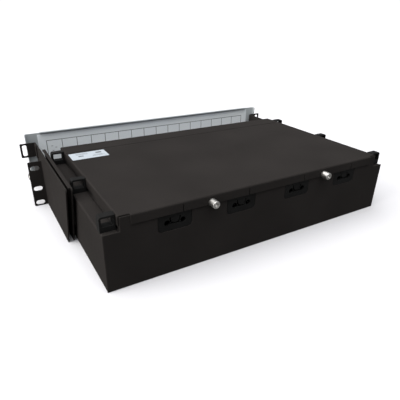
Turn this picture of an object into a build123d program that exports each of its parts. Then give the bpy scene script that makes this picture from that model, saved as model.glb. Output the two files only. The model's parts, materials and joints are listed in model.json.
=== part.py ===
from build123d import *

import os

# A slide-out fibre termination box for a 19-inch rack, two rack units high.
# X runs across the rack, Y from the door to the rear panel, Z up. The origin is
# at the middle of the footprint, on the underside. "Right" is the +X side.

os.makedirs("parts", exist_ok=True)

# ---- Driving dimensions, in millimetres ----
rack_unit = 44.45
ear_span = 482.6  # across both rack ears
slot_row_span = 465.1  # between the slot rows of the two ears
slot_pair_height = 31.75  # between the two upper slots of an ear
box_height = 2 * rack_unit - 2.5
box_width = 422
box_depth = 241
lid_width = 388
wall_height = 69  # outer side walls, below the side channels
cover_length = 210
total_depth = 347  # from the door's outer face to the rear screw heads
screw_stand_out = 12  # rear screw heads, behind the rear panel
sheet = 1.5
cover_sheet = 1.2
bend = 2.0  # outer radius of a folded edge
cover_play = 0.4  # between the lift-off cover and the frame it rests on
running_gap = 0.05  # round a pin that turns in a hole

# ---- Main planes and lines worked out from them ----
half_width = box_width / 2
lid_half = lid_width / 2
rear_y = total_depth / 2 - screw_stand_out
front_y = rear_y - box_depth
door_y = -total_depth / 2
seam_y = rear_y - cover_length
lid_underside = box_height - cover_sheet
frame_top = lid_underside - cover_play
riser_x = lid_half - cover_sheet - cover_play
shelf_edge = riser_x + bend + 0.2
flange_bottom = box_height - 11.4
interior_rear_y = rear_y - sheet


def across(y):
    """The plane across the box at y, facing the front."""
    return Plane.XZ.offset(-y)


def along(x):
    """The plane along the box at x, facing right."""
    return Plane.YZ.offset(x)


def mirrored(piece):
    """The same piece on the other side of the box."""
    with BuildPart() as other:
        mirror(piece, about=Plane.YZ)
    return other.part


def end_outline():
    """Outline of a panel that closes one end of the stepped box."""
    with BuildSketch() as outline:
        with BuildLine():
            Polyline(
                (half_width, 0),
                (half_width, wall_height),
                (riser_x, wall_height),
                (riser_x, frame_top),
                (-riser_x, frame_top),
                (-riser_x, wall_height),
                (-half_width, wall_height),
                (-half_width, 0),
                close=True,
            )
        make_face()
    return outline.sketch


pieces = {}

# ---- Base pan: floor, side walls and the shelves of the side channels ----
with BuildPart() as base_pan:
    with BuildSketch(across(interior_rear_y)):
        with BuildLine():
            FilletPolyline(
                (shelf_edge, wall_height),
                (half_width, wall_height),
                (half_width, 0),
                (-half_width, 0),
                (-half_width, wall_height),
                (-shelf_edge, wall_height),
                radius=bend,
            )
            offset(amount=sheet, side=Side.RIGHT)
        make_face()
    extrude(amount=box_depth - 2 * sheet)
pieces["base_pan"] = base_pan.part

# ---- Channel walls: stand on the shelves' undersides and carry the cover ----
riser_foot = 14.5
riser_flange = 14
with BuildPart() as right_channel_wall:
    with BuildSketch(across(interior_rear_y)):
        with BuildLine():
            FilletPolyline(
                (riser_x + riser_foot, wall_height - sheet),
                (riser_x, wall_height - sheet),
                (riser_x, frame_top),
                (riser_x - riser_flange, frame_top),
                radius=bend,
            )
            offset(amount=sheet, side=Side.LEFT)
        make_face()
    extrude(amount=box_depth - 2 * sheet)
pieces["right_channel_wall"] = right_channel_wall.part
pieces["left_channel_wall"] = mirrored(right_channel_wall.part)

# ---- Rear panel: four cable entries, two holes for the cover's screws ----
entry_pitch = 87.4
entry_xs = [entry_pitch * step for step in (-1.5, -0.5, 0.5, 1.5)]
entry_half = 20
entry_bottom = 55.5
entry_corner = 4
entry_gap = 0.6
cover_screw_x = 86.5
cover_screw_z = 78.2
screw_shank_radius = 2.5

notch_height = 2 * (frame_top - entry_bottom)
notch_z = entry_bottom - entry_gap + notch_height / 2
with BuildPart() as rear_panel:
    with BuildSketch(across(rear_y)):
        add(end_outline())
        with Locations(*[(x, notch_z) for x in entry_xs]):
            RectangleRounded(
                2 * (entry_half + entry_gap),
                notch_height,
                entry_corner + entry_gap,
                mode=Mode.SUBTRACT,
            )
        with Locations((-cover_screw_x, cover_screw_z), (cover_screw_x, cover_screw_z)):
            Circle(screw_shank_radius + running_gap, mode=Mode.SUBTRACT)
    extrude(amount=sheet)
    rear_edges = rear_panel.faces().sort_by(Axis.Y)[-1].edges()
    upright = rear_edges.filter_by(Axis.Z).sort_by(Axis.X)
    fillet([upright[0], upright[-1], rear_edges.filter_by(Axis.X).sort_by(Axis.Z)[0]], bend / 2)
pieces["rear_panel"] = rear_panel.part

# ---- Cable entry plates: moulded plugs with a tie tab between two cable holes ----
entry_recess = 0.2
entry_flange = 1.8
entry_lip = 3
entry_top = frame_top - 0.3
cable_hole_radius = 3.5
cable_hole_offset = 9.5
cable_hole_z = 64.5
tab_radius = 6
tab_z = 69
tab_slot = 1.6
grip_rib = (9, 1.5)  # width and height
grip_rib_z = 73.6


def entry_outline(x, half, bottom, corner):
    """A plate's outline, square at the top and rounded at the bottom."""
    with BuildSketch() as outline:
        with Locations((x, (bottom + entry_top) / 2)):
            Rectangle(2 * half, entry_top - bottom)
        fillet(outline.vertices().group_by(Axis.Y)[0], corner)
    return outline.sketch


def cable_entry_plate(x):
    """One plug with its retaining flange behind the rear panel."""
    tab_arc = CenterArc((x, tab_z), tab_radius, 170, 200)
    with BuildPart() as plate:
        with BuildSketch(across(rear_y - entry_recess)):
            add(entry_outline(x, entry_half, entry_bottom, entry_corner))
        extrude(amount=sheet - entry_recess)
        with BuildSketch(across(interior_rear_y)):
            add(entry_outline(x, entry_half + entry_lip, entry_bottom - entry_lip, entry_corner))
        extrude(amount=entry_flange)
        with BuildSketch(across(rear_y - entry_recess)):
            with Locations((x + entry_half / 5, grip_rib_z)):
                Rectangle(*grip_rib)
        extrude(amount=-1)
        with BuildSketch(across(rear_y)):
            with Locations(
                (x - cable_hole_offset, cable_hole_z), (x + cable_hole_offset, cable_hole_z)
            ):
                Circle(cable_hole_radius)
            with Locations((x, tab_z - tab_radius)):
                Rectangle(2 * cable_hole_offset, tab_slot)
            SlotArc(tab_arc, tab_slot)
        extrude(amount=2 * sheet + entry_flange, mode=Mode.SUBTRACT)
    return plate.part


for number, entry_x in enumerate(entry_xs, start=1):
    pieces[f"cable_entry_plate_{number}"] = cable_entry_plate(entry_x)

# ---- Front panel: openings for the adapter plates ----
plate_pitch = 97
plate_xs = [plate_pitch * step for step in (-1.5, -0.5, 0.5, 1.5)]
plate_size = (94, 46)
plate_opening = (80, 38)
plate_z = 41
rivet_offset = plate_size[0] / 2 - 3.5
rivet_radius = 1.6
rivet_places = [(x + side * rivet_offset, plate_z) for x in plate_xs for side in (-1, 1)]
panel_screw_radius = 1.5
panel_screw_places = [
    (side * x, z) for side in (-1, 1) for x, z in ((202, 58), (97, 70), (202, 22))
]
with BuildPart() as front_panel:
    with BuildSketch(across(front_y + sheet)):
        add(end_outline())
        with Locations(*[(x, plate_z) for x in plate_xs]):
            Rectangle(*plate_opening, mode=Mode.SUBTRACT)
        with Locations(*rivet_places):
            Circle(rivet_radius, mode=Mode.SUBTRACT)
        with Locations(*panel_screw_places):
            Circle(panel_screw_radius, mode=Mode.SUBTRACT)
    extrude(amount=sheet)
pieces["front_panel"] = front_panel.part

with BuildPart() as panel_screws:
    with BuildSketch(across(front_y)):
        with Locations(*panel_screw_places):
            Circle(2 * panel_screw_radius)
    extrude(amount=1.6)
    fillet(panel_screws.faces().group_by(Axis.Y)[0].edges(), 0.7)
    with BuildSketch(across(front_y - 1.6)):
        with Locations(*panel_screw_places):
            RegularPolygon(0.9, 6)
    extrude(amount=-0.9, mode=Mode.SUBTRACT)
    with BuildSketch(across(front_y + 4)):
        with Locations(*panel_screw_places):
            Circle(panel_screw_radius)
    extrude(amount=4)
pieces["panel_screws"] = panel_screws.part

# ---- Adapter plates, duplex adapters and their dust caps ----
adapter_pitch = (26, 19)
adapter_body = (12.8, 9.2)
adapter_flange = (21.5, 9.2)
adapter_length = 28
adapter_hole = (13, 9.4)
port_size = (4.9, 6.4)
port_spacing = 6.2
port_depth = 10
plate_front_y = front_y - sheet
adapter_front_y = front_y - adapter_length / 2
adapter_places = [
    (x + column * adapter_pitch[0], plate_z + row * adapter_pitch[1])
    for x in plate_xs
    for column in (-1, 0, 1)
    for row in (-0.5, 0.5)
]
port_places = [(x + side * port_spacing / 2, z) for x, z in adapter_places for side in (-1, 1)]


def adapter_plate(x):
    """One plate with a grid of rectangular adapter holes."""
    with BuildPart() as plate:
        with BuildSketch(across(front_y)):
            with Locations((x, plate_z)):
                RectangleRounded(*plate_size, 3)
                with GridLocations(*adapter_pitch, 3, 2):
                    Rectangle(*adapter_hole, mode=Mode.SUBTRACT)
                with GridLocations(2 * rivet_offset, 0, 2, 1):
                    Circle(rivet_radius, mode=Mode.SUBTRACT)
        extrude(amount=sheet)
    return plate.part


for number, x in enumerate(plate_xs, start=1):
    pieces[f"adapter_plate_{number}"] = adapter_plate(x)

with BuildPart() as fiber_adapters:
    with BuildSketch(across(adapter_front_y + adapter_length)):
        with Locations(*adapter_places):
            Rectangle(*adapter_body)
    extrude(amount=adapter_length)
    with BuildSketch(across(plate_front_y)):
        with Locations(*adapter_places):
            Rectangle(*adapter_flange)
    extrude(amount=1.8)
    for mouth_y, inward in ((adapter_front_y, -1), (adapter_front_y + adapter_length, 1)):
        with BuildSketch(across(mouth_y)):
            with Locations(*port_places):
                Rectangle(*port_size)
        extrude(amount=inward * port_depth, mode=Mode.SUBTRACT)
pieces["fiber_adapters"] = fiber_adapters.part

with BuildPart() as adapter_dust_caps:
    with BuildSketch(across(adapter_front_y + port_depth - 2)):
        with Locations(*port_places):
            Rectangle(port_size[0] - 0.4, port_size[1] - 0.4)
    extrude(amount=port_depth - 2)
    with BuildSketch(across(adapter_front_y)):
        with Locations(*adapter_places):
            RectangleRounded(adapter_body[0] - 1, adapter_body[1] - 1.4, 1.5)
    extrude(amount=6)
pieces["adapter_dust_caps"] = adapter_dust_caps.part

with BuildPart() as adapter_plate_rivets:
    with BuildSketch(across(plate_front_y)):
        with Locations(*rivet_places):
            Circle(2 * rivet_radius)
    extrude(amount=1.8)
    fillet(adapter_plate_rivets.faces().group_by(Axis.Y)[0].edges(), 0.8)
    with BuildSketch(across(front_y + 6)):
        with Locations(*rivet_places):
            Circle(rivet_radius)
    extrude(amount=6 + sheet)
pieces["adapter_plate_rivets"] = adapter_plate_rivets.part

# ---- Fixed strip above the front panel, and the rail under the seam ----
seam_gap = 1.3
with BuildPart() as front_top_strip:
    with BuildSketch(Plane.XY.offset(flange_bottom)):
        with Locations((0, (seam_y - seam_gap + front_y - sheet) / 2)):
            Rectangle(lid_width, seam_y - seam_gap - front_y + sheet)
    extrude(amount=box_height - flange_bottom)
    top_edges = front_top_strip.edges().group_by(Axis.Z)[-1]
    fillet(top_edges - top_edges.sort_by(Axis.Y)[-1:], bend)
    with BuildSketch(Plane.XY.offset(flange_bottom)):
        with Locations((0, (seam_y + front_y) / 2)):
            Rectangle(2 * riser_x, seam_y - front_y)
    extrude(amount=frame_top - flange_bottom, mode=Mode.SUBTRACT)
pieces["front_top_strip"] = front_top_strip.part

rail_half = riser_x - riser_flange - 1
with BuildPart() as cover_support_rail:
    with BuildSketch(along(-rail_half)):
        with BuildLine():
            FilletPolyline(
                (seam_y + 12, frame_top),
                (seam_y - 10, frame_top),
                (seam_y - 10, frame_top - 9),
                radius=bend,
            )
            offset(amount=sheet, side=Side.LEFT)
        make_face()
    extrude(amount=2 * rail_half)
pieces["cover_support_rail"] = cover_support_rail.part

# ---- Lift-off cover: side and rear flanges, slits, open-ended screw slots ----
flange_half = 181
cover_rear_y = rear_y + 0.3 + cover_sheet
cover_mid_y = (cover_rear_y + seam_y) / 2
screw_slot = 2 * screw_shank_radius + 0.8
slit_width = 1.2
slit_top = box_height - 3
with BuildPart() as top_cover:
    with BuildSketch(Plane.XY.offset(flange_bottom)):
        with Locations((0, cover_mid_y)):
            Rectangle(lid_width, cover_rear_y - seam_y)
    extrude(amount=box_height - flange_bottom)
    top_edges = top_cover.edges().group_by(Axis.Z)[-1]
    fillet(top_edges - top_edges.sort_by(Axis.Y)[:1], bend)
    with BuildSketch(Plane.XY.offset(flange_bottom)):
        with Locations((0, cover_mid_y - cover_sheet / 2)):
            Rectangle(lid_width - 2 * cover_sheet, cover_rear_y - seam_y - cover_sheet)
    extrude(amount=lid_underside - flange_bottom, mode=Mode.SUBTRACT)
    with BuildSketch(Plane.XY.offset(flange_bottom)):
        for side in (-1, 1):
            with Locations((side * (flange_half + lid_half) / 2, cover_rear_y)):
                Rectangle(lid_half - flange_half, 2 * (cover_rear_y - interior_rear_y))
    extrude(amount=box_height - flange_bottom, mode=Mode.SUBTRACT)
    with BuildSketch(across(cover_rear_y)):
        for side in (-1, 1):
            with Locations((side * cover_screw_x, cover_screw_z - 10)):
                SlotOverall(20 + screw_slot, screw_slot, rotation=90)
        for x in entry_xs:
            with Locations((x - cable_hole_offset, (flange_bottom + slit_top) / 2)):
                Rectangle(slit_width, slit_top - flange_bottom)
    extrude(amount=cover_sheet, mode=Mode.SUBTRACT)
pieces["top_cover"] = top_cover.part

sticker_size = (50, 27)
with BuildPart() as cover_sticker:
    with BuildSketch(Plane.XY.offset(box_height)):
        with Locations((lid_half - bend - sticker_size[0] / 2, seam_y + 19.5)):
            RectangleRounded(*sticker_size, 1.5)
    extrude(amount=0.15)
pieces["cover_sticker"] = cover_sticker.part

# ---- Cable rings on the shelves of the side channels ----
ring_width = 9.5
ring_wall = 2.2
ring_base = 6
ring_inner_x = lid_half + 0.4
ring_distances = {"rear": 11, "middle": 115, "front": 224}


def cable_ring(y):
    """One closed loop that a bundle of cords passes through along Y."""
    width = half_width - ring_inner_x
    height = box_height - wall_height
    with BuildPart() as ring:
        with BuildSketch(across(y + ring_width / 2)) as loop:
            with Locations((ring_inner_x + width / 2, wall_height + height / 2)):
                Rectangle(width, height)
            fillet(loop.vertices().group_by(Axis.Y)[-1].sort_by(Axis.X)[-1], 3)
            with Locations(
                (ring_inner_x + width / 2, wall_height + (height + ring_base - ring_wall) / 2)
            ):
                RectangleRounded(
                    width - 2 * ring_wall, height - ring_base - ring_wall, 1, mode=Mode.SUBTRACT
                )
        extrude(amount=ring_width)
        fillet(ring.faces().filter_by(Axis.Y).edges(), 0.4)
    return ring.part


for place, distance in ring_distances.items():
    ring = cable_ring(rear_y - distance)
    pieces[f"right_cable_ring_{place}"] = ring
    pieces[f"left_cable_ring_{place}"] = mirrored(ring)

# ---- Slides: a rail on the box, a carrier, and the bracket with the rack ear ----
slide_front_y = front_y - 4
slide_length = 125
rail_depth = 2.5
rail_z = (24, 60)
carrier_x = 214.5
carrier_lip = 4
bracket_x = 221.1
rib_z = (30, 54)
slide_play = 0.6
right_bracket_height = 85.5
left_bracket_height = 74  # the left bracket and carrier are lower than the right ones
rear_foot_y = rear_y - 120  # the rear edge slants back from here
rear_slant = 32 / right_bracket_height


def rear_edge_y(z):
    """Where the slanted rear edge of a bracket or a carrier is at height z."""
    return rear_foot_y + rear_slant * z


with BuildPart() as right_inner_rail:
    with BuildSketch(along(half_width)):
        with Locations((front_y + 1 + slide_length / 2, sum(rail_z) / 2)):
            RectangleRounded(slide_length, rail_z[1] - rail_z[0], 3)
    extrude(amount=rail_depth)
pieces["right_inner_rail"] = right_inner_rail.part
pieces["left_inner_rail"] = mirrored(right_inner_rail.part)


def slide_carrier(height):
    """The right carrier: a plate with a rib for the bracket and lips for the rail."""
    with BuildPart() as carrier:
        with BuildSketch(along(carrier_x)) as outline:
            with BuildLine():
                Polyline(
                    (slide_front_y, 1),
                    (rear_edge_y(0), 1),
                    (rear_edge_y(height), height),
                    (slide_front_y, height),
                    close=True,
                )
            make_face()
            fillet(outline.vertices().sort_by(Axis.X)[-1], 3)
        extrude(amount=sheet)
        fold_length = rear_edge_y(height) - 5 - slide_front_y
        with BuildSketch(along(carrier_x + sheet)):
            with Locations((slide_front_y + fold_length / 2, height - sheet / 2)):
                Rectangle(fold_length, sheet)
        extrude(amount=carrier_lip - sheet)
        with BuildSketch(along(carrier_x + sheet)):
            with Locations((slide_front_y + slide_length / 2 - 4, sum(rib_z) / 2)):
                RectangleRounded(slide_length - 12, rib_z[1] - rib_z[0], 2)
        extrude(amount=bracket_x - carrier_x - sheet - slide_play)
        for lip_z in (rail_z[1] + slide_play + sheet / 2, rail_z[0] - slide_play - sheet / 2):
            with BuildSketch(along(half_width + slide_play)):
                with Locations((slide_front_y + slide_length / 2 - 8, lip_z)):
                    Rectangle(slide_length - 20, sheet)
            extrude(amount=carrier_x - half_width - slide_play)
    return carrier.part


pieces["right_slide_carrier"] = slide_carrier(right_bracket_height)
pieces["left_slide_carrier"] = mirrored(slide_carrier(left_bracket_height))

ear_y = front_y - 6.5  # the ear's front face
ear_slot = (12.5, 7)
slot_x = slot_row_span / 2
upper_slot_z = 59.15
slot_heights = (5.15, upper_slot_z - slot_pair_height, upper_slot_z)
lock_x = 236
lock_z = upper_slot_z - slot_pair_height / 2


def rack_bracket(height):
    """The right bracket: a plate with the slotted rack ear and lips for the carrier."""
    with BuildPart() as bracket:
        with BuildSketch(along(bracket_x)) as outline:
            with BuildLine():
                Polyline(
                    (ear_y + 8, 0),
                    (rear_edge_y(0), 0),
                    (rear_edge_y(height), height),
                    (ear_y, height),
                    (ear_y, wall_height),
                    (ear_y + 8, wall_height),
                    close=True,
                )
            make_face()
            fillet(outline.vertices().sort_by(Axis.X)[-1], 3)
        extrude(amount=sheet)
        with BuildSketch():
            with BuildLine():
                FilletPolyline(
                    (bracket_x, ear_y + 8), (bracket_x, ear_y), (ear_span / 2, ear_y), radius=bend
                )
                offset(amount=sheet, side=Side.LEFT)
            make_face()
        extrude(amount=wall_height)
        fillet(bracket.edges().filter_by(Axis.Y).group_by(Axis.X)[-1], 2)
        with BuildSketch(across(ear_y + sheet)):
            for slot_z in slot_heights:
                with Locations((slot_x, slot_z)):
                    SlotOverall(*ear_slot)
        extrude(amount=sheet, mode=Mode.SUBTRACT)
        for lip_z in (rib_z[1] + slide_play + sheet / 2, rib_z[0] - slide_play - sheet / 2):
            with BuildSketch(along(carrier_x + sheet + slide_play)):
                with Locations((slide_front_y + slide_length / 2 - 8, lip_z)):
                    Rectangle(slide_length - 24, sheet)
            extrude(amount=bracket_x - carrier_x - sheet - slide_play)
    return bracket.part


pieces["right_bracket"] = rack_bracket(right_bracket_height)
pieces["left_bracket"] = mirrored(rack_bracket(left_bracket_height))

# ---- Front trough: cord tray ahead of the box, with the door's hinge arms ----
trough_half = 217
trough_rear_y = ear_y - 2
trough_front_y = door_y + 19
neck_half = 205
neck_height = 14
arm_front_height = 36
arm_top = 73
ring_front_y = door_y + 7.5  # the front rings stand just behind the door's end folds
tab_height = (lock_z - 8.5, lock_z + 8.5)
hinge_y = door_y + 8
hinge_z = 12
hinge_pin_radius = 2
hinge_boss = 5.5
with BuildPart() as front_trough:
    with BuildSketch(across(trough_rear_y)):
        with BuildLine():
            FilletPolyline(
                (trough_half, arm_front_height),
                (trough_half, 0),
                (-trough_half, 0),
                (-trough_half, arm_front_height),
                radius=bend,
            )
            offset(amount=sheet, side=Side.RIGHT)
        make_face()
    extrude(amount=trough_rear_y - trough_front_y)
    with BuildSketch(along(-neck_half)):
        with BuildLine():
            FilletPolyline(
                (trough_rear_y - 5, 0), (front_y, 0), (front_y, neck_height), radius=bend
            )
            offset(amount=sheet, side=Side.LEFT)
        make_face()
    extrude(amount=2 * neck_half)
    with BuildSketch(along(-neck_half)):
        with Locations((trough_front_y + sheet / 2, 4)):
            Rectangle(sheet, 8)
    extrude(amount=2 * neck_half)
    for side in (-1, 1):
        with BuildSketch(along(side * (trough_half - sheet / 2))) as arm_face:
            with BuildLine():
                Polyline(
                    (trough_rear_y, arm_front_height - 10),
                    (trough_rear_y, arm_top),
                    (ring_front_y, arm_top),
                    (ring_front_y, arm_front_height),
                    (door_y + 4, arm_front_height),
                    (door_y + 4, hinge_z + hinge_boss),
                    (hinge_y, hinge_z),
                    (hinge_y + hinge_boss, hinge_z - hinge_boss),
                    (trough_front_y, hinge_z - hinge_boss),
                    (trough_front_y, arm_front_height - 10),
                    close=True,
                )
            make_face()
            with Locations((hinge_y, hinge_z)):
                Circle(hinge_boss)
        extrude(amount=sheet / 2, both=True)
        with BuildSketch(across(trough_rear_y)):
            with Locations((side * (trough_half + 12), lock_z)):
                Rectangle(24, tab_height[1] - tab_height[0])
        extrude(amount=sheet)
        with BuildSketch(across(trough_rear_y)):
            with Locations((side * lock_x, lock_z)):
                Circle(screw_shank_radius + running_gap)
        extrude(amount=sheet, mode=Mode.SUBTRACT)
    with BuildSketch(along(-trough_half)):
        with Locations((hinge_y, hinge_z)):
            Circle(hinge_pin_radius + running_gap)
    extrude(amount=2 * trough_half, mode=Mode.SUBTRACT)
pieces["front_trough"] = front_trough.part

# ---- Front rings: one cord loop on the end of each trough arm ----
front_ring_edge = 240
front_ring_z = (50.5, 73.5)
front_window = {"x": (230, 237), "z": (53.2, 71)}
flange_length = 16
with BuildPart() as right_front_ring:
    with BuildSketch(across(ring_front_y + sheet)) as ring_face:
        with Locations(((trough_half + front_ring_edge) / 2, sum(front_ring_z) / 2)):
            Rectangle(front_ring_edge - trough_half, front_ring_z[1] - front_ring_z[0])
        fillet(ring_face.vertices().group_by(Axis.X)[-1], 1.5)
        with Locations((sum(front_window["x"]) / 2, sum(front_window["z"]) / 2)):
            RectangleRounded(
                front_window["x"][1] - front_window["x"][0],
                front_window["z"][1] - front_window["z"][0],
                2.5,
                mode=Mode.SUBTRACT,
            )
    extrude(amount=sheet)
    with BuildSketch(along(trough_half)):
        with Locations((ring_front_y + flange_length / 2, sum(front_ring_z) / 2)):
            RectangleRounded(flange_length, front_ring_z[1] - front_ring_z[0] - 2, 1)
    extrude(amount=sheet)
pieces["right_front_ring"] = right_front_ring.part
pieces["left_front_ring"] = mirrored(right_front_ring.part)

# ---- Door: folded panel with an inner label card, hinged at the bottom ----
door_half = 230
door_bottom = 4
door_top = 88
door_end_top = 86.4
door_lip = 6
lip_half = 207
card_half = 211
card_z = (14, 83.4)
card_thickness = 0.4
door_inner_y = door_y + sheet
with BuildPart() as door_panel:
    with BuildSketch(Plane.XY.offset(door_bottom)):
        with BuildLine():
            FilletPolyline(
                (door_half, door_y + door_lip),
                (door_half, door_y),
                (-door_half, door_y),
                (-door_half, door_y + door_lip),
                radius=bend,
            )
            offset(amount=sheet, side=Side.RIGHT)
        make_face()
    extrude(amount=door_end_top - door_bottom)
    with BuildSketch(along(-lip_half)):
        with BuildLine():
            FilletPolyline(
                (door_y, door_bottom + 20),
                (door_y, door_top),
                (door_y + door_lip, door_top),
                radius=bend,
            )
            offset(amount=sheet, side=Side.RIGHT)
        make_face()
    extrude(amount=2 * lip_half)
pieces["door_panel"] = door_panel.part

with BuildPart() as door_label_card:
    with BuildSketch(across(door_inner_y + card_thickness)):
        with Locations((0, sum(card_z) / 2)):
            Rectangle(2 * card_half, card_z[1] - card_z[0])
    extrude(amount=card_thickness)
pieces["door_label_card"] = door_label_card.part

lug_x = trough_half + 1
lug_pad = 9
with BuildPart() as door_hinge_lugs:
    for side in (-1, 1):
        with BuildSketch(across(door_inner_y + sheet)):
            with Locations((side * (lug_x + lug_pad / 2), hinge_z + 1)):
                Rectangle(lug_pad, 13)
        extrude(amount=sheet)
        with BuildSketch(along(side * (lug_x + sheet / 2))):
            with Locations(((door_inner_y + hinge_y) / 2, hinge_z)):
                Rectangle(hinge_y - door_inner_y, 2 * hinge_boss)
            with Locations((hinge_y, hinge_z)):
                Circle(hinge_boss)
                Circle(hinge_pin_radius, mode=Mode.SUBTRACT)
        extrude(amount=sheet / 2, both=True)
pieces["door_hinge_lugs"] = door_hinge_lugs.part

with BuildPart() as door_hinge_pins:
    for side in (-1, 1):
        pin_seat = Plane(origin=(side * (lug_x + sheet), hinge_y, hinge_z), z_dir=(side, 0, 0))
        with BuildSketch(pin_seat):
            Circle(hinge_pin_radius)
        extrude(amount=-(2.5 * sheet + 1))
        with BuildSketch(pin_seat):
            Circle(1.8 * hinge_pin_radius)
        extrude(amount=1.5)
    fillet(door_hinge_pins.edges().filter_by(GeomType.CIRCLE).group_by(Axis.X)[-1], 0.6)
    fillet(door_hinge_pins.edges().filter_by(GeomType.CIRCLE).group_by(Axis.X)[0], 0.6)
pieces["door_hinge_pins"] = door_hinge_pins.part

magnet_size = (8, 10, 12)
with BuildPart() as door_magnets:
    for side in (-1, 1):
        with Locations(
            (
                side * (trough_half + magnet_size[0] / 2),
                door_inner_y + 0.4 + magnet_size[1] / 2,
                arm_front_height - magnet_size[2] / 2,
            )
        ):
            Box(*magnet_size)
    fillet(door_magnets.edges().filter_by(Axis.X), 0.8)
pieces["door_magnets"] = door_magnets.part

# ---- Captive thumbscrews ----
head_chamfer = 0.7
socket_radius = 2.6
socket_depth = 2


def thumbscrew(seat, head_radius, head_length, shank_length):
    """A screw with a turned head. The seat plane faces out along the head's axis."""
    with BuildPart() as screw:
        with BuildSketch(seat):
            Circle(head_radius)
        extrude(amount=head_length)
        chamfer(screw.edges(), head_chamfer)
        with BuildSketch(seat.offset(head_length)):
            Circle(socket_radius)
        extrude(amount=-socket_depth, mode=Mode.SUBTRACT)
        with BuildSketch(seat):
            Circle(screw_shank_radius)
        extrude(amount=-shank_length)
    return screw.part


cover_seat = Plane(
    origin=(cover_screw_x, cover_rear_y + 0.3, cover_screw_z), z_dir=(0, 1, 0), x_dir=(1, 0, 0)
)
cover_screw = thumbscrew(
    cover_seat,
    head_radius=4.6,
    head_length=total_depth / 2 - cover_seat.origin.Y,
    shank_length=10,
)
pieces["right_cover_thumbscrew"] = cover_screw
pieces["left_cover_thumbscrew"] = mirrored(cover_screw)

lock_seat = Plane(
    origin=(lock_x, trough_rear_y - sheet - 0.3, lock_z), z_dir=(0, -1, 0), x_dir=(1, 0, 0)
)
lock_shank = ear_y - lock_seat.origin.Y - 0.5  # ends just short of the ear
lock_screw = thumbscrew(lock_seat, head_radius=6, head_length=11, shank_length=lock_shank)
pieces["right_lock_thumbscrew"] = lock_screw
pieces["left_lock_thumbscrew"] = mirrored(lock_screw)

# ---- Inside: splice trays on two studs ----
tray_size = (180, 110)
tray_centre = (0, rear_y - 92)
tray_height = 9
tray_wall = 1.2
tray_levels = (13.5, 23.5)
stud_offset = 72
stud_radius = 2
groove_count = 12
groove_pitch = 3.2
groove_width = 2.6
comb_length = 34
comb_y = tray_centre[1] - 22
sleeve_radius = 1.2
hub_radius = 20


def splice_tray(z):
    """A tray with a rim, two winding hubs and a comb for splice sleeves."""
    with BuildPart() as tray:
        with BuildSketch(Plane.XY.offset(z)):
            with Locations(tray_centre):
                RectangleRounded(*tray_size, 18)
        extrude(amount=tray_height)
        with BuildSketch(Plane.XY.offset(z + tray_wall)):
            with Locations(tray_centre):
                RectangleRounded(tray_size[0] - 2 * tray_wall, tray_size[1] - 2 * tray_wall, 16.8)
        extrude(amount=tray_height, mode=Mode.SUBTRACT)
        with BuildSketch(Plane.XY.offset(z + tray_wall)):
            with Locations(tray_centre):
                with GridLocations(100, 0, 2, 1):
                    Circle(hub_radius)
                    Circle(hub_radius - tray_wall, mode=Mode.SUBTRACT)
            with Locations((tray_centre[0], comb_y)):
                with GridLocations(groove_pitch, 0, groove_count + 1, 1):
                    Rectangle(groove_pitch - groove_width, comb_length)
        extrude(amount=tray_height - 2 * tray_wall)
        with BuildSketch(Plane.XY.offset(z)):
            with Locations(tray_centre):
                with GridLocations(2 * stud_offset, 0, 2, 1):
                    Circle(stud_radius + 0.3)
        extrude(amount=tray_height, mode=Mode.SUBTRACT)
    return tray.part


for name, level in zip(("lower", "upper"), tray_levels):
    pieces[f"splice_tray_{name}"] = splice_tray(level)

sleeve_start_y = comb_y + comb_length / 2 + 3
with BuildPart() as splice_sleeves:
    for level in tray_levels:
        with BuildSketch(across(sleeve_start_y)):
            with Locations((tray_centre[0], level + tray_wall + sleeve_radius)):
                with GridLocations(groove_pitch, 0, groove_count, 1):
                    Circle(sleeve_radius)
        extrude(amount=comb_length + 6)
pieces["splice_sleeves"] = splice_sleeves.part

lid_z = tray_levels[1] + tray_height
with BuildPart() as splice_tray_lid:
    with BuildSketch(Plane.XY.offset(lid_z)):
        with Locations(tray_centre):
            RectangleRounded(*tray_size, 18)
            with GridLocations(2 * stud_offset, 0, 2, 1):
                Circle(stud_radius + 0.3, mode=Mode.SUBTRACT)
    extrude(amount=1.5)
pieces["splice_tray_lid"] = splice_tray_lid.part

stud_places = [(side * stud_offset, tray_centre[1]) for side in (-1, 1)]
nut_z = lid_z + sheet
with BuildPart() as tray_studs:
    with BuildSketch(Plane.XY.offset(sheet)):
        with Locations(*stud_places):
            RegularPolygon(5, 6)
    extrude(amount=tray_levels[0] - sheet)
    with BuildSketch(Plane.XY.offset(tray_levels[0])):
        with Locations(*stud_places):
            Circle(stud_radius)
    extrude(amount=nut_z + 14 - tray_levels[0])
pieces["tray_studs"] = tray_studs.part

with BuildPart() as tray_nuts:
    with BuildSketch(Plane.XY.offset(nut_z)):
        with Locations(*stud_places):
            Circle(6)
    extrude(amount=8)
    fillet(tray_nuts.edges().group_by(Axis.Z)[-1], 0.8)
    with BuildSketch(Plane.XY.offset(nut_z)):
        with Locations(*stud_places):
            Circle(stud_radius + 0.1)
    extrude(amount=8, mode=Mode.SUBTRACT)
pieces["tray_nuts"] = tray_nuts.part

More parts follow.
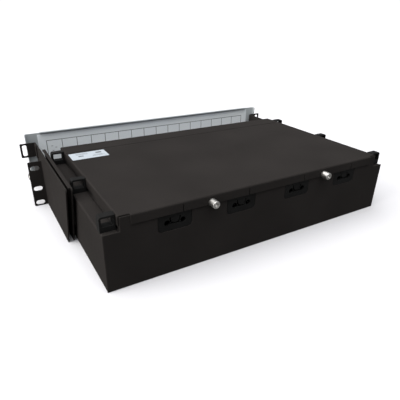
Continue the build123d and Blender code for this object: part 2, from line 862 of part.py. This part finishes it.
# ---- Inside: slack spools, and the bar where the cables' strength members end ----
spool_centre = (148, rear_y - 120)
spool_radius = 32
spool_height = 34
spool_wall = 2
with BuildPart() as right_slack_spool:
    with BuildSketch(Plane.XY.offset(sheet)):
        with Locations(spool_centre):
            Circle(spool_radius)
            Circle(spool_radius - spool_wall, mode=Mode.SUBTRACT)
    extrude(amount=spool_height)
    with BuildSketch(Plane.XY.offset(sheet)):
        with Locations(spool_centre):
            Circle(spool_radius)
    extrude(amount=spool_wall)
    with BuildSketch(Plane.XY.offset(sheet + spool_height - spool_wall)):
        with Locations(spool_centre):
            with PolarLocations(spool_radius + 4, 4, start_angle=45):
                Rectangle(13, 16)
            Circle(spool_radius - spool_wall, mode=Mode.SUBTRACT)
    extrude(amount=spool_wall)
pieces["right_slack_spool"] = right_slack_spool.part
pieces["left_slack_spool"] = mirrored(right_slack_spool.part)

bar_half = 165
bar_height = 40
bar_y = rear_y - 16
clamp_size = (12, 8, 9)
clamp_xs = [x + side * cable_hole_offset for x in entry_xs for side in (-1, 1)]
with BuildPart() as anchor_bar:
    with BuildSketch(along(-bar_half)):
        with BuildLine():
            FilletPolyline(
                (bar_y + 8, sheet),
                (bar_y, sheet),
                (bar_y, bar_height),
                (bar_y - 12, bar_height),
                radius=bend,
            )
            offset(amount=sheet, side=Side.RIGHT)
        make_face()
    extrude(amount=2 * bar_half)
pieces["anchor_bar"] = anchor_bar.part

clamp_z = anchor_bar.part.bounding_box().max.Z + clamp_size[2] / 2
with BuildPart() as strength_member_clamps:
    with Locations(*[(x, bar_y - 6, clamp_z) for x in clamp_xs]):
        Box(*clamp_size)
    fillet(strength_member_clamps.edges().group_by(Axis.Z)[-1], 1)
    with BuildSketch(across(bar_y)):
        with Locations(*[(x, clamp_z - 1) for x in clamp_xs]):
            Circle(1.4)
    extrude(amount=12, mode=Mode.SUBTRACT)
pieces["strength_member_clamps"] = strength_member_clamps.part

# ---- One STEP file for each piece ----
for name, piece in pieces.items():
    piece.label = name
    export_step(piece, f"parts/{name}.step")
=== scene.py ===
import json
import math

import bpy
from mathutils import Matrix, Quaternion, Vector


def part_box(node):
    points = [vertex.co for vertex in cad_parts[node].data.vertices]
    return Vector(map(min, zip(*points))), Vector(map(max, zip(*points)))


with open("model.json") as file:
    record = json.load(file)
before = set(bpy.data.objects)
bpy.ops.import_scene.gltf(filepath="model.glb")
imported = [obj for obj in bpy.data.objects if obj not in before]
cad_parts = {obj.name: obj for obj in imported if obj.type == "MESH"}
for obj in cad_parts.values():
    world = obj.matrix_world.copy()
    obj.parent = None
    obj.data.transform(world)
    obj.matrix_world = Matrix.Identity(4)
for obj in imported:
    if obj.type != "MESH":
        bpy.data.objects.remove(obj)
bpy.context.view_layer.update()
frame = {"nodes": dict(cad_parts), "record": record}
nodes = frame["nodes"]
MM = 0.001


# ---- Camera and light ----
SENSOR_WIDTH = 36
CLIP_START = 0.01
CLIP_END = 100
BACKDROP_STRENGTH = 1.05


def make_camera(target, azimuth, elevation, roll, distance, lens):
    """A camera that looks at target. Azimuth 0 looks along +Y, and roll turns it about its view."""
    turn, rise = math.radians(azimuth), math.radians(elevation)
    back = Vector((math.sin(turn) * math.cos(rise), -math.cos(turn) * math.cos(rise), math.sin(rise)))
    data = bpy.data.cameras.new("camera")
    data.lens = lens
    data.sensor_width = SENSOR_WIDTH
    data.clip_start = CLIP_START
    data.clip_end = CLIP_END
    camera = bpy.data.objects.new("camera", data)
    camera.rotation_mode = "QUATERNION"
    camera.location = Vector(target) + back * distance
    camera.rotation_quaternion = (-back).to_track_quat("-Z", "Y") @ Quaternion((0, 0, 1), math.radians(roll))
    bpy.context.collection.objects.link(camera)
    bpy.context.scene.camera = camera


def make_sun(name, direction, strength, spread, colour):
    """A soft distant light that comes from a direction. Spread is its width in degrees."""
    data = bpy.data.lights.new(name, "SUN")
    data.energy = strength
    data.angle = math.radians(spread)
    data.color = colour
    sun = bpy.data.objects.new(name, data)
    sun.rotation_mode = "QUATERNION"
    sun.rotation_quaternion = Vector(direction).to_track_quat("Z", "Y")
    bpy.context.collection.objects.link(sun)


def make_world(strength, colour):
    """Dim even light on the object, in front of a white backdrop."""
    world = bpy.data.worlds.new("studio")
    world.use_nodes = True
    tree = world.node_tree
    tree.nodes.clear()
    light, backdrop = (tree.nodes.new("ShaderNodeBackground") for _ in range(2))
    light.inputs["Color"].default_value = (*colour, 1)
    light.inputs["Strength"].default_value = strength
    backdrop.inputs["Color"].default_value = (1, 1, 1, 1)
    backdrop.inputs["Strength"].default_value = BACKDROP_STRENGTH
    path = tree.nodes.new("ShaderNodeLightPath")
    mix = tree.nodes.new("ShaderNodeMixShader")
    out = tree.nodes.new("ShaderNodeOutputWorld")
    tree.links.new(path.outputs["Is Camera Ray"], mix.inputs[0])
    tree.links.new(light.outputs[0], mix.inputs[1])
    tree.links.new(backdrop.outputs[0], mix.inputs[2])
    tree.links.new(mix.outputs[0], out.inputs[0])
    bpy.context.scene.world = world


# ---- Node materials ----
class Surface:
    """A principled material, with short names for the nodes that vary it. Lengths are in metres."""

    def __init__(self, name, colour, roughness, **constants):
        self.material = bpy.data.materials.new(name)
        self.material.use_nodes = True
        self.tree = self.material.node_tree
        self.shader = self.tree.nodes["Principled BSDF"]
        self.set("Base Color", (*colour, 1))
        self.set("Roughness", roughness)
        for socket, value in constants.items():
            self.set(socket.replace("_", " "), value)
        self.place = self.node("ShaderNodeTexCoord").outputs["Object"]

    def set(self, socket, value):
        self._fill(self.shader, socket, value)

    def _fill(self, node, socket, value):
        if isinstance(value, bpy.types.NodeSocket):
            self.tree.links.new(value, node.inputs[socket])
        else:
            node.inputs[socket].default_value = value

    def node(self, kind, inputs=(), **settings):
        made = self.tree.nodes.new(kind)
        for key, value in settings.items():
            setattr(made, key, value)
        for socket, value in dict(inputs).items():
            self._fill(made, socket, value)
        return made

    def math(self, operation, *values):
        return self.node("ShaderNodeMath", enumerate(values), operation=operation).outputs[0]

    def noise(self, grain, detail=2.0, place=None):
        """Noise from 0 to 1 whose blots are about as wide as grain."""
        inputs = {"Vector": place or self.place, "Scale": 1 / grain, "Detail": detail}
        return self.node("ShaderNodeTexNoise", inputs).outputs["Fac"]

    def scaled(self, factors):
        """The place, stretched along the axes."""
        inputs = {0: self.place, 1: factors}
        return self.node("ShaderNodeVectorMath", inputs, operation="MULTIPLY").outputs[0]

    def remap(self, value, low, high, to_low=0.0, to_high=1.0):
        inputs = {"Value": value, "From Min": low, "From Max": high, "To Min": to_low, "To Max": to_high}
        return self.node("ShaderNodeMapRange", inputs).outputs[0]

    def mix(self, factor, first, second):
        mixer = self.node("ShaderNodeMix", data_type="RGBA")
        for socket, value in zip((0, 6, 7), (factor, first, second)):
            self._fill(mixer, socket, (*value, 1) if isinstance(value, tuple) else value)
        return mixer.outputs[2]

    def axes(self):
        split = self.node("ShaderNodeSeparateXYZ", {0: self.place})
        return split.outputs[0], split.outputs[1], split.outputs[2]

    def near(self, value, centre, half):
        """1 where value is within half of centre, else 0."""
        return self.math("COMPARE", value, centre, half)

    def any_of(self, masks):
        total = masks[0]
        for mask in masks[1:]:
            total = self.math("MAXIMUM", total, mask)
        return total

    def rounded_edges(self, radius):
        """(the normal with edges rounded, a mask of the edges)"""
        soft = self.node("ShaderNodeBevel", {"Radius": radius}, samples=4).outputs[0]
        hard = self.node("ShaderNodeNewGeometry").outputs["Normal"]
        dot = self.node("ShaderNodeVectorMath", {0: soft, 1: hard}, operation="DOT_PRODUCT")
        return soft, self.remap(dot.outputs["Value"], 0.99, 0.82)

    def bump(self, height, depth, normal=None, strength=1.0):
        inputs = {"Height": height, "Distance": depth, "Strength": strength}
        if normal is not None:
            inputs["Normal"] = normal
        self.set("Normal", self.node("ShaderNodeBump", inputs).outputs[0])


def powder_coat(name, colour, worn_and_highlit, grain, depth, roughness, specular):
    """Baked coat with a fine orange peel, faint handling marks and paler edges: part edge wear, part a painted
    highlight where the edges catch light.
    """
    surface = Surface(name, colour, roughness, Specular_IOR_Level=specular)
    normal, edges = surface.rounded_edges(0.5 * MM)
    # Edges painted paler: partly edge wear, partly a painted highlight along the edges.
    edge_wear_and_highlight = surface.math("MULTIPLY", edges, surface.remap(surface.noise(6 * MM), 0.35, 0.65, 0.35, 1.0))
    cloud = surface.remap(surface.noise(70 * MM, 3), 0.3, 0.7)
    tone = surface.mix(cloud, colour, tuple(1.25 * c for c in colour))
    surface.set("Base Color", surface.mix(edge_wear_and_highlight, tone, worn_and_highlit))
    marks = surface.noise(35 * MM, 4)
    surface.set("Roughness", surface.remap(marks, 0.3, 0.7, roughness - 0.05, roughness + 0.06))
    surface.bump(surface.noise(grain, 3), depth, normal)
    return surface.material


def moulding(name, colour, roughness, specular=0.5, **constants):
    """Moulded plastic or rubber with a fine satin grain and a painted highlight along its edges."""
    surface = Surface(name, colour, roughness, Specular_IOR_Level=specular, **constants)
    normal, edges = surface.rounded_edges(0.3 * MM)
    cloud = surface.remap(surface.noise(15 * MM, 3), 0.3, 0.7)
    tone = surface.mix(cloud, colour, tuple(min(1, 1.12 * c + 0.002) for c in colour))
    # Painted highlight: the edges are painted paler, as if they catch the light.
    edge_highlight_tone = tuple(min(1, 1.6 * c + 0.01) for c in colour)
    surface.set("Base Color", surface.mix(surface.math("MULTIPLY", edges, 0.3), tone, edge_highlight_tone))
    surface.set("Roughness", surface.remap(surface.noise(4 * MM), 0.3, 0.7, roughness - 0.05, roughness + 0.05))
    surface.bump(surface.noise(0.4 * MM), 0.01 * MM, normal)
    return surface.material


def plated_metal(name, colour, roughness, grain, stretch):
    """Plated or turned metal with fine directional marks."""
    surface = Surface(name, colour, roughness, Metallic=1.0)
    normal, _ = surface.rounded_edges(0.2 * MM)
    marks = surface.noise(grain, 2, surface.scaled(stretch))
    cloud = surface.remap(surface.noise(2 * MM, 3), 0.3, 0.7)
    surface.set("Base Color", surface.mix(cloud, tuple(0.88 * c for c in colour), colour))
    surface.set("Roughness", surface.remap(marks, 0.25, 0.75, roughness - 0.07, roughness + 0.1))
    surface.bump(marks, 0.004 * MM, normal)
    return surface.material


CARD_HALF = 198 * MM
CARD_TOP = 72 * MM
CARD_FOOT = 26 * MM
CARD_LOW_ROW = 12 * MM
CARD_CELLS = 16
INK = (0.045, 0.048, 0.05)


def label_card():
    """Pale card with an empty ruled table: a tall row over a low one, and short marks in one cell."""
    paper = (0.8, 0.84, 0.86)
    surface = Surface("label_card", paper, 0.45, Specular_IOR_Level=0.4)
    x, _, z = surface.axes()
    pitch = 2 * CARD_HALF / CARD_CELLS
    line = 0.5 * MM
    inside = surface.math(
        "MULTIPLY",
        surface.near(x, 0.0, CARD_HALF + line),
        surface.near(z, (CARD_TOP + CARD_FOOT) / 2, (CARD_TOP - CARD_FOOT) / 2 + line),
    )
    column = surface.near(surface.math("WRAP", x, pitch / 2, -pitch / 2), 0.0, line)
    rows = [surface.near(z, height, line) for height in (CARD_TOP, CARD_FOOT + CARD_LOW_ROW, CARD_FOOT)]
    table = surface.math("MULTIPLY", inside, surface.any_of([column, *rows]))
    marks = [
        surface.math(
            "MULTIPLY",
            surface.near(x, CARD_HALF - dx, 1.6 * MM),
            surface.near(z, CARD_TOP - dz, 0.6 * MM),
        )
        for dx, dz in ((8 * MM, 10 * MM), (14 * MM, 13 * MM), (9 * MM, 18 * MM), (13 * MM, 21 * MM))
    ]
    ink = surface.any_of([table, surface.math("MULTIPLY", surface.any_of(marks), 0.6)])
    fibres = surface.remap(surface.noise(1.2 * MM, 4), 0.3, 0.7)
    tone = surface.mix(fibres, tuple(0.95 * c for c in paper), paper)
    surface.set("Base Color", surface.mix(surface.math("MULTIPLY", ink, 0.9), tone, INK))
    surface.set("Roughness", surface.remap(surface.noise(20 * MM, 3), 0.3, 0.7, 0.38, 0.52))
    surface.bump(surface.noise(0.5 * MM, 3), 0.01 * MM)
    return surface.material


def sticker():
    """White label stock with a few printed bars that say nothing."""
    stock = (0.36, 0.4, 0.44)
    low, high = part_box("cover_sticker")
    surface = Surface("sticker_stock", stock, 0.4, Specular_IOR_Level=0.4)
    x, y, _ = surface.axes()
    bars = []
    for across, along, half_length, half_width in (
        (0.26, 0.72, 0.17, 0.012),
        (0.26, 0.6, 0.13, 0.012),
        (0.2, 0.3, 0.08, 0.05),
        (0.72, 0.55, 0.07, 0.035),
        (0.66, 0.3, 0.16, 0.012),
        (0.66, 0.18, 0.16, 0.012),
    ):
        width, depth = high[0] - low[0], high[1] - low[1]
        bars.append(
            surface.math(
                "MULTIPLY",
                surface.near(x, low[0] + across * width, half_length * width),
                surface.near(y, low[1] + along * depth, half_width * width),
            )
        )
    print_mask = surface.math("MULTIPLY", surface.any_of(bars), 0.85)
    surface.set("Base Color", surface.mix(print_mask, stock, INK))
    surface.set("Roughness", surface.remap(surface.noise(6 * MM, 3), 0.3, 0.7, 0.34, 0.46))
    surface.bump(surface.noise(0.6 * MM, 3), 0.008 * MM)
    return surface.material


def floor_material():
    """Matt white paper sweep that throws little light back onto the object."""
    surface = Surface("floor_paper", (0.9, 0.9, 0.9), 0.9, Specular_IOR_Level=0.0)
    seen = surface.node("ShaderNodeLightPath").outputs["Is Camera Ray"]
    surface.set("Base Color", surface.mix(seen, (0.14, 0.14, 0.14), (0.58, 0.58, 0.6)))
    surface.bump(surface.noise(3 * MM, 2), 0.02 * MM)
    return surface.material


# ---- A finish for each material slot of the record ----
finishes = {
    "black_coat": powder_coat(
        "black_powder_coat", (0.0172, 0.0155, 0.0148), (0.04, 0.037, 0.035), 0.7 * MM, 0.03 * MM, 0.6, 0.02
    ),
    "grey_coat": powder_coat(
        "grey_powder_coat", (0.36, 0.385, 0.395), (0.5, 0.52, 0.53), 0.9 * MM, 0.02 * MM, 0.42, 0.35
    ),
    "label_stock": label_card(),
    "sticker": sticker(),
    "nickel": plated_metal("nickel_plate", (0.62, 0.61, 0.59), 0.34, 0.3 * MM, (1, 6, 1)),
    "steel": plated_metal("zinc_steel", (0.6, 0.61, 0.62), 0.36, 0.3 * MM, (1, 4, 1)),
    "black_moulding": moulding("black_nylon", (0.007, 0.007, 0.007), 0.5, 0.06),
    "blue_moulding": moulding("blue_adapter_plastic", (0.02, 0.13, 0.48), 0.3),
    "cap_rubber": moulding("dust_cap_rubber", (0.62, 0.63, 0.6), 0.55, 0.4),
    "tray_plastic": moulding("tray_plastic", (0.42, 0.43, 0.43), 0.4),
    "clear_lid": moulding("clear_polycarbonate", (0.75, 0.8, 0.82), 0.12, 0.5, Alpha=0.3),
    "sleeve": moulding("splice_sleeve", (0.7, 0.7, 0.72), 0.25),
}

for part in frame["record"]["subparts"]:
    node = nodes[part["node"]]
    node.data.materials.clear()
    node.data.materials.append(finishes[part["material_slot"]])

# ---- Floor ----
FLOOR_HALF = 30
floor_mesh = bpy.data.meshes.new("floor")
floor_mesh.from_pydata(
    [(x * FLOOR_HALF, y * FLOOR_HALF, 0) for x, y in ((-1, -1), (1, -1), (1, 1), (-1, 1))], [], [(0, 1, 2, 3)]
)
floor_mesh.materials.append(floor_material())
floor = bpy.data.objects.new("floor", floor_mesh)
bpy.context.collection.objects.link(floor)

make_camera(
    target=(28.19 * MM, 41.14 * MM, 14.68 * MM),
    azimuth=148.878,
    elevation=25.9,
    roll=1.1255,
    distance=571.2 * MM,
    lens=34.43,
)
make_sun("overhead_softbox", (0.3, -0.1, 1), 3.4, 80, (1, 0.985, 0.97))
make_sun("side_softbox", (1, -0.1, 0.3), 4.0, 50, (1, 0.98, 0.95))
make_sun("rear_fill", (0.1, 0.5, 0.8), 1.3, 60, (0.97, 0.985, 1))
make_world(0.3, (0.96, 0.98, 1))
bpy.context.scene.view_settings.view_transform = "Standard"
